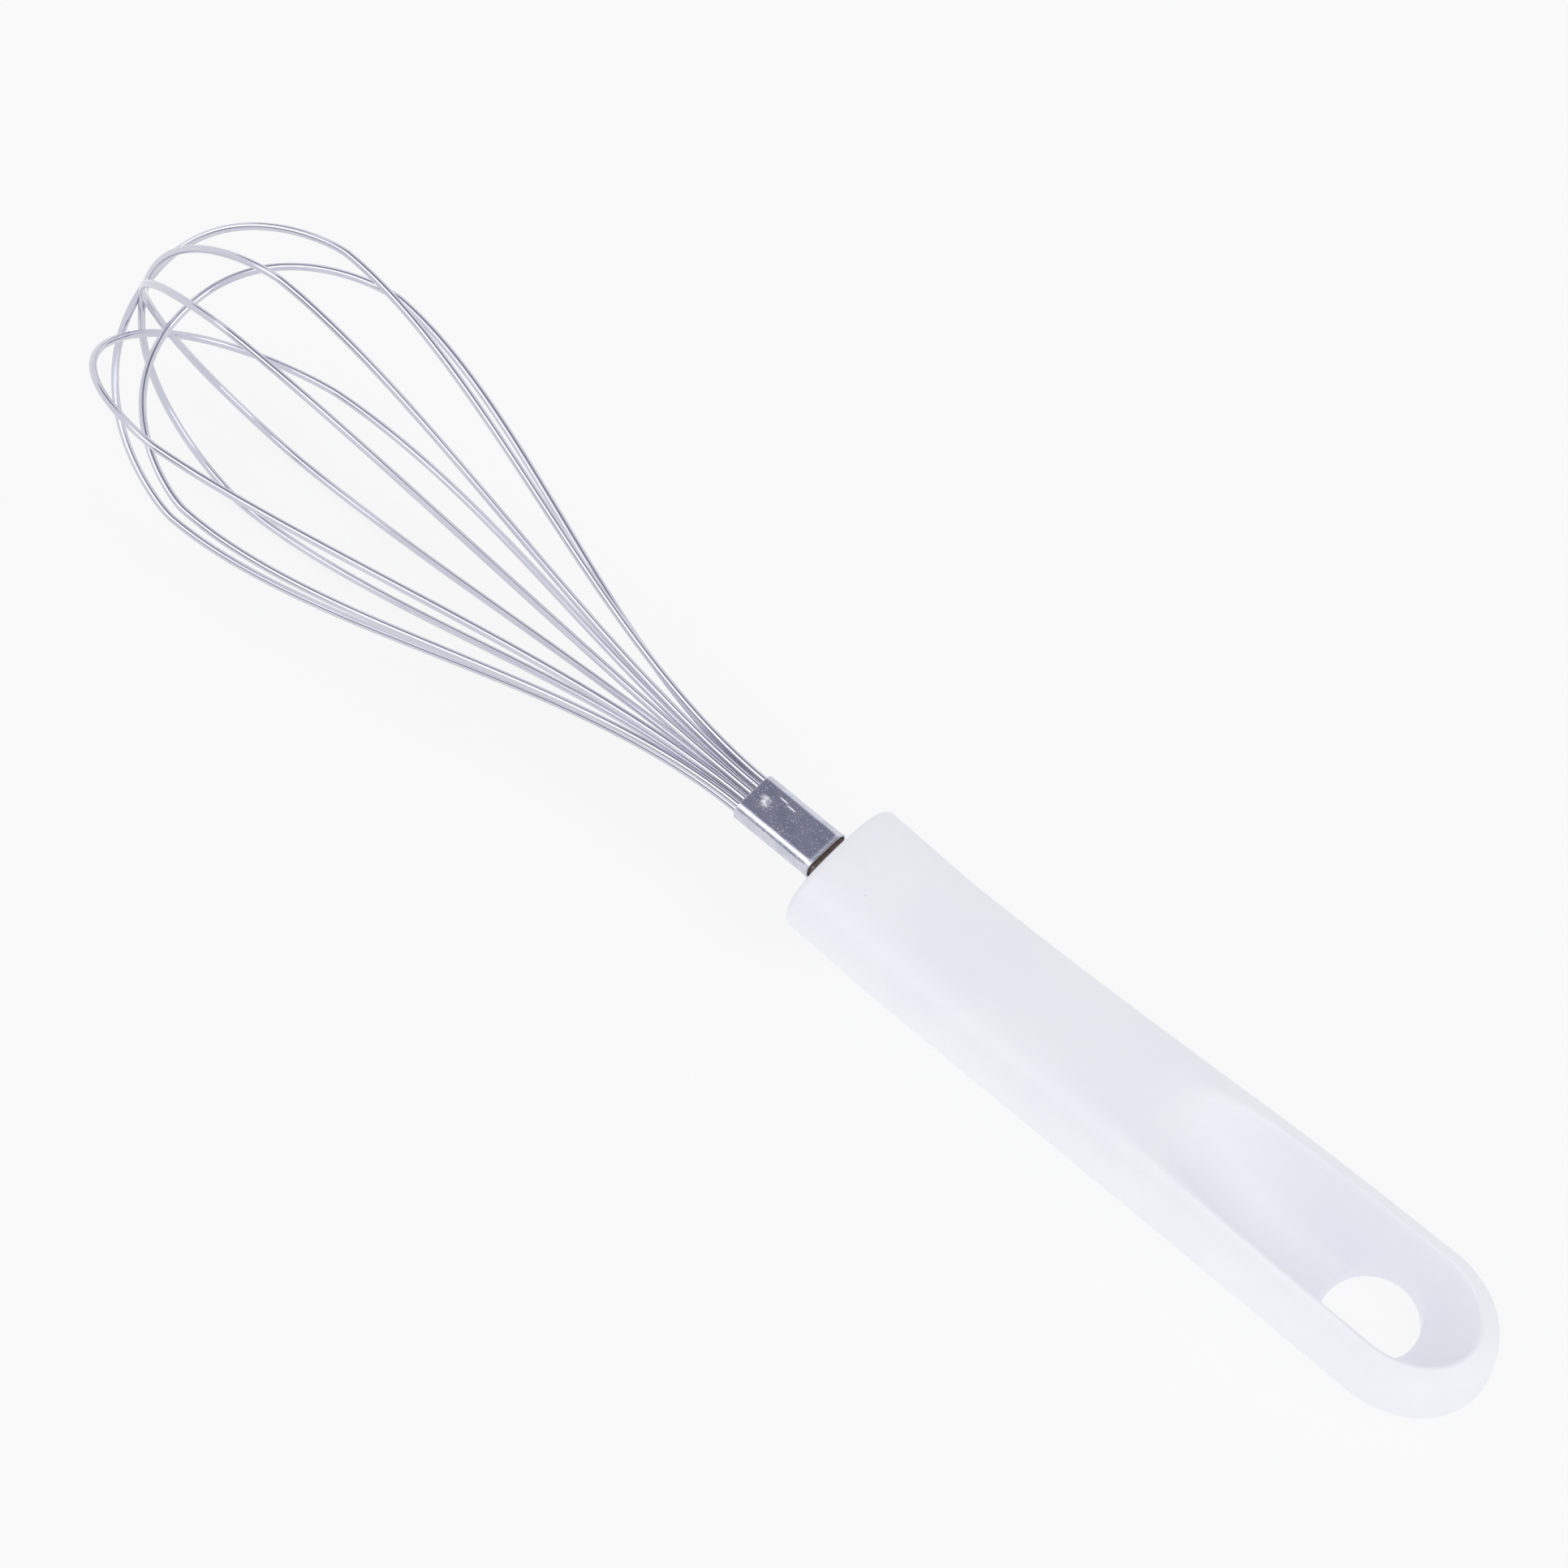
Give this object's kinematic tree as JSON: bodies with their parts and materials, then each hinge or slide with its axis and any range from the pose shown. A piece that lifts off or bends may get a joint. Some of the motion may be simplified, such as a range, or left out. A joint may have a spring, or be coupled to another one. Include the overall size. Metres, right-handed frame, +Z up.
{
  "type": "balloon whisk",
  "caption": "Hand whisk with a balloon of closed steel wire loops held by a flat steel sleeve in a moulded plastic handle with a thumb scoop and a hanging hole.",
  "frame": {"origin": "on the surface that the whisk lies on, under the middle of its bounding box", "axes": "+X towards the handle's rounded end, +Z up, out of the thumb scoop, +Y to the left when looking along +X"},
  "size_m": [0.2749, 0.052, 0.0535],
  "materials": {
    "handle_plastic": "white moulded plastic with a soft satin gloss",
    "sleeve_steel": "dull pressed steel sheet, finely pitted",
    "anchor_resin": "dark brown casting resin, matt",
    "wire_steel": "polished stainless spring wire"
  },
  "bodies": {
    "root": {"handle": "handle_plastic", "sleeve": "sleeve_steel", "anchor_resin": "anchor_resin", "wire_1": "wire_steel", "wire_2": "wire_steel", "wire_3": "wire_steel", "wire_4": "wire_steel", "wire_5": "wire_steel"}
  },
  "joints": []
}
